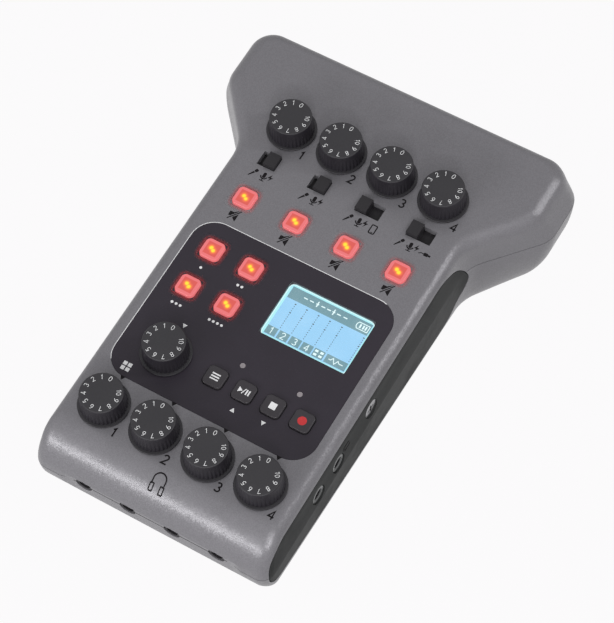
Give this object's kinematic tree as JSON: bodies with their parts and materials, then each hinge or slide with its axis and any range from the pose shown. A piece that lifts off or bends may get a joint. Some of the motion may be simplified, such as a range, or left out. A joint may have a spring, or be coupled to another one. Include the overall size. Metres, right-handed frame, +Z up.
{
  "type": "podcast recorder",
  "caption": "Hand-sized podcast recorder with a flared rear, gain and phones knobs, lit mute buttons and sound pads, a small display and sockets for microphones, phones and cards.",
  "frame": {"origin": "centre of the footprint, on the surface the feet stand on", "axes": "+X to the right of a person facing the controls, +Y from the phones sockets at the front to the microphone sockets at the rear, +Z up; the control face rises 6 degrees towards the rear"},
  "size_m": [0.1124, 0.1532, 0.0474],
  "materials": {
    "case_plastic": "satin metallic grey with a fine sparkle",
    "side_panel_plastic": "satin dark grey",
    "overlay_plastic": "smooth charcoal with printed marks",
    "knob_plastic": "satin black with white numerals",
    "lit_button": "translucent red, lit from below",
    "dark_button": "smooth black with a printed sign",
    "window_clear": "clear window",
    "display_lit": "lit pale blue display",
    "light_pipe": "frosted clear plastic",
    "switch_plastic": "matt black",
    "board": "green solder mask",
    "component_plastic": "moulded black",
    "steel": "plain",
    "screw_steel": "blackened",
    "contact_metal": "plain",
    "nickel": "nickel plated",
    "cell_wrap": "printed wrap",
    "foot_rubber": "matt"
  },
  "bodies": {
    "case": {"upper_case": "case_plastic", "lower_case": "case_plastic", "right_side_panel": "side_panel_plastic", "left_side_panel": "side_panel_plastic", "rubber_feet": "foot_rubber", "control_panel": "overlay_plastic", "display_window": "window_clear", "display_module": "display_lit", "status_lights": "light_pipe", "potentiometer_bodies": "steel", "tact_switches": "component_plastic", "slide_switch_bodies": "steel", "main_board": "board", "small_boards": "board", "jack_sockets": "component_plastic", "microphone_sockets": "nickel", "microphone_inserts": "component_plastic", "microphone_contacts": "contact_metal", "usb_sockets": "steel", "card_slot": "steel", "batteries": "cell_wrap", "battery_contacts": "nickel", "screws": "screw_steel"},
    "gain_knob_1_turning": {"gain_knob_1": "knob_plastic", "gain_shaft_1": "steel"},
    "gain_knob_2_turning": {"gain_knob_2": "knob_plastic", "gain_shaft_2": "steel"},
    "gain_knob_3_turning": {"gain_knob_3": "knob_plastic", "gain_shaft_3": "steel"},
    "gain_knob_4_turning": {"gain_knob_4": "knob_plastic", "gain_shaft_4": "steel"},
    "phones_knob_1_turning": {"phones_knob_1": "knob_plastic", "phones_shaft_1": "steel"},
    "phones_knob_2_turning": {"phones_knob_2": "knob_plastic", "phones_shaft_2": "steel"},
    "phones_knob_3_turning": {"phones_knob_3": "knob_plastic", "phones_shaft_3": "steel"},
    "phones_knob_4_turning": {"phones_knob_4": "knob_plastic", "phones_shaft_4": "steel"},
    "pad_level_knob_turning": {"pad_level_knob": "knob_plastic", "pad_level_shaft": "steel"},
    "mute_button_1_moving": {"mute_button_1": "lit_button"},
    "mute_button_2_moving": {"mute_button_2": "lit_button"},
    "mute_button_3_moving": {"mute_button_3": "lit_button"},
    "mute_button_4_moving": {"mute_button_4": "lit_button"},
    "sound_pad_1_moving": {"sound_pad_1": "lit_button"},
    "sound_pad_2_moving": {"sound_pad_2": "lit_button"},
    "sound_pad_3_moving": {"sound_pad_3": "lit_button"},
    "sound_pad_4_moving": {"sound_pad_4": "lit_button"},
    "menu_button_moving": {"menu_button": "dark_button"},
    "play_button_moving": {"play_button": "dark_button"},
    "stop_button_moving": {"stop_button": "dark_button"},
    "record_button_moving": {"record_button": "dark_button"},
    "input_switch_1_moving": {"input_switch_1": "switch_plastic"},
    "input_switch_2_moving": {"input_switch_2": "switch_plastic"},
    "input_switch_3_moving": {"input_switch_3": "switch_plastic"},
    "input_switch_4_moving": {"input_switch_4": "switch_plastic"},
    "power_switch_moving": {"power_switch": "switch_plastic"},
    "battery_door_moving": {"battery_door": "case_plastic"}
  },
  "joints": [
    {"name": "gain_knob_1_turn", "type": "hinge", "parent": "case", "child": "gain_knob_1_turning", "pos_m": [-0.0255, 0.04514, 0.03943], "axis": [0, -0.1045, 0.9945], "range_deg": [-300, 0]},
    {"name": "gain_knob_2_turn", "type": "hinge", "parent": "case", "child": "gain_knob_2_turning", "pos_m": [-0.0085, 0.04514, 0.03943], "axis": [0, -0.1045, 0.9945], "range_deg": [-300, 0]},
    {"name": "gain_knob_3_turn", "type": "hinge", "parent": "case", "child": "gain_knob_3_turning", "pos_m": [0.0085, 0.04514, 0.03943], "axis": [0, -0.1045, 0.9945], "range_deg": [-300, 0]},
    {"name": "gain_knob_4_turn", "type": "hinge", "parent": "case", "child": "gain_knob_4_turning", "pos_m": [0.0255, 0.04514, 0.03943], "axis": [0, -0.1045, 0.9945], "range_deg": [-300, 0]},
    {"name": "phones_knob_1_turn", "type": "hinge", "parent": "case", "child": "phones_knob_1_turning", "pos_m": [-0.0255, -0.0579, 0.0286], "axis": [0, -0.1045, 0.9945], "range_deg": [-300, 0]},
    {"name": "phones_knob_2_turn", "type": "hinge", "parent": "case", "child": "phones_knob_2_turning", "pos_m": [-0.0085, -0.0579, 0.0286], "axis": [0, -0.1045, 0.9945], "range_deg": [-300, 0]},
    {"name": "phones_knob_3_turn", "type": "hinge", "parent": "case", "child": "phones_knob_3_turning", "pos_m": [0.0085, -0.0579, 0.0286], "axis": [0, -0.1045, 0.9945], "range_deg": [-300, 0]},
    {"name": "phones_knob_4_turn", "type": "hinge", "parent": "case", "child": "phones_knob_4_turning", "pos_m": [0.0255, -0.0579, 0.0286], "axis": [0, -0.1045, 0.9945], "range_deg": [-300, 0]},
    {"name": "pad_level_knob_turn", "type": "hinge", "parent": "case", "child": "pad_level_knob_turning", "pos_m": [-0.0188, -0.03592, 0.03091], "axis": [0, -0.1045, 0.9945], "range_deg": [-300, 0]},
    {"name": "mute_button_1_press", "type": "slide", "parent": "case", "child": "mute_button_1_moving", "axis": [0, 0.1045, -0.9945], "range_m": [0, 0.0005], "stiffness_N_per_m": 400, "springref_m": -0.0005},
    {"name": "mute_button_2_press", "type": "slide", "parent": "case", "child": "mute_button_2_moving", "axis": [0, 0.1045, -0.9945], "range_m": [0, 0.0005], "stiffness_N_per_m": 400, "springref_m": -0.0005},
    {"name": "mute_button_3_press", "type": "slide", "parent": "case", "child": "mute_button_3_moving", "axis": [0, 0.1045, -0.9945], "range_m": [0, 0.0005], "stiffness_N_per_m": 400, "springref_m": -0.0005},
    {"name": "mute_button_4_press", "type": "slide", "parent": "case", "child": "mute_button_4_moving", "axis": [0, 0.1045, -0.9945], "range_m": [0, 0.0005], "stiffness_N_per_m": 400, "springref_m": -0.0005},
    {"name": "sound_pad_1_press", "type": "slide", "parent": "case", "child": "sound_pad_1_moving", "axis": [0, 0.1045, -0.9945], "range_m": [0, 0.0005], "stiffness_N_per_m": 400, "springref_m": -0.0005},
    {"name": "sound_pad_2_press", "type": "slide", "parent": "case", "child": "sound_pad_2_moving", "axis": [0, 0.1045, -0.9945], "range_m": [0, 0.0005], "stiffness_N_per_m": 400, "springref_m": -0.0005},
    {"name": "sound_pad_3_press", "type": "slide", "parent": "case", "child": "sound_pad_3_moving", "axis": [0, 0.1045, -0.9945], "range_m": [0, 0.0005], "stiffness_N_per_m": 400, "springref_m": -0.0005},
    {"name": "sound_pad_4_press", "type": "slide", "parent": "case", "child": "sound_pad_4_moving", "axis": [0, 0.1045, -0.9945], "range_m": [0, 0.0005], "stiffness_N_per_m": 400, "springref_m": -0.0005},
    {"name": "menu_button_press", "type": "slide", "parent": "case", "child": "menu_button_moving", "axis": [0, 0.1045, -0.9945], "range_m": [0, 0.0005], "stiffness_N_per_m": 400, "springref_m": -0.0005},
    {"name": "play_button_press", "type": "slide", "parent": "case", "child": "play_button_moving", "axis": [0, 0.1045, -0.9945], "range_m": [0, 0.0005], "stiffness_N_per_m": 400, "springref_m": -0.0005},
    {"name": "stop_button_press", "type": "slide", "parent": "case", "child": "stop_button_moving", "axis": [0, 0.1045, -0.9945], "range_m": [0, 0.0005], "stiffness_N_per_m": 400, "springref_m": -0.0005},
    {"name": "record_button_press", "type": "slide", "parent": "case", "child": "record_button_moving", "axis": [0, 0.1045, -0.9945], "range_m": [0, 0.0005], "stiffness_N_per_m": 400, "springref_m": -0.0005},
    {"name": "input_switch_1_slide", "type": "slide", "parent": "case", "child": "input_switch_1_moving", "axis": [-1, 0, 0], "range_m": [0, 0.002]},
    {"name": "input_switch_2_slide", "type": "slide", "parent": "case", "child": "input_switch_2_moving", "axis": [-1, 0, 0], "range_m": [0, 0.002]},
    {"name": "input_switch_3_slide", "type": "slide", "parent": "case", "child": "input_switch_3_moving", "axis": [1, 0, 0], "range_m": [0, 0.004]},
    {"name": "input_switch_4_slide", "type": "slide", "parent": "case", "child": "input_switch_4_moving", "axis": [1, 0, 0], "range_m": [0, 0.004]},
    {"name": "power_switch_slide", "type": "slide", "parent": "case", "child": "power_switch_moving", "axis": [0, 0.9945, 0.1045], "range_m": [0, 0.0025]},
    {"name": "battery_door_swing", "type": "hinge", "parent": "case", "child": "battery_door_moving", "pos_m": [0, 0.0206, 0.0016], "axis": [1, 0, 0], "range_deg": [0, 60]}
  ]
}
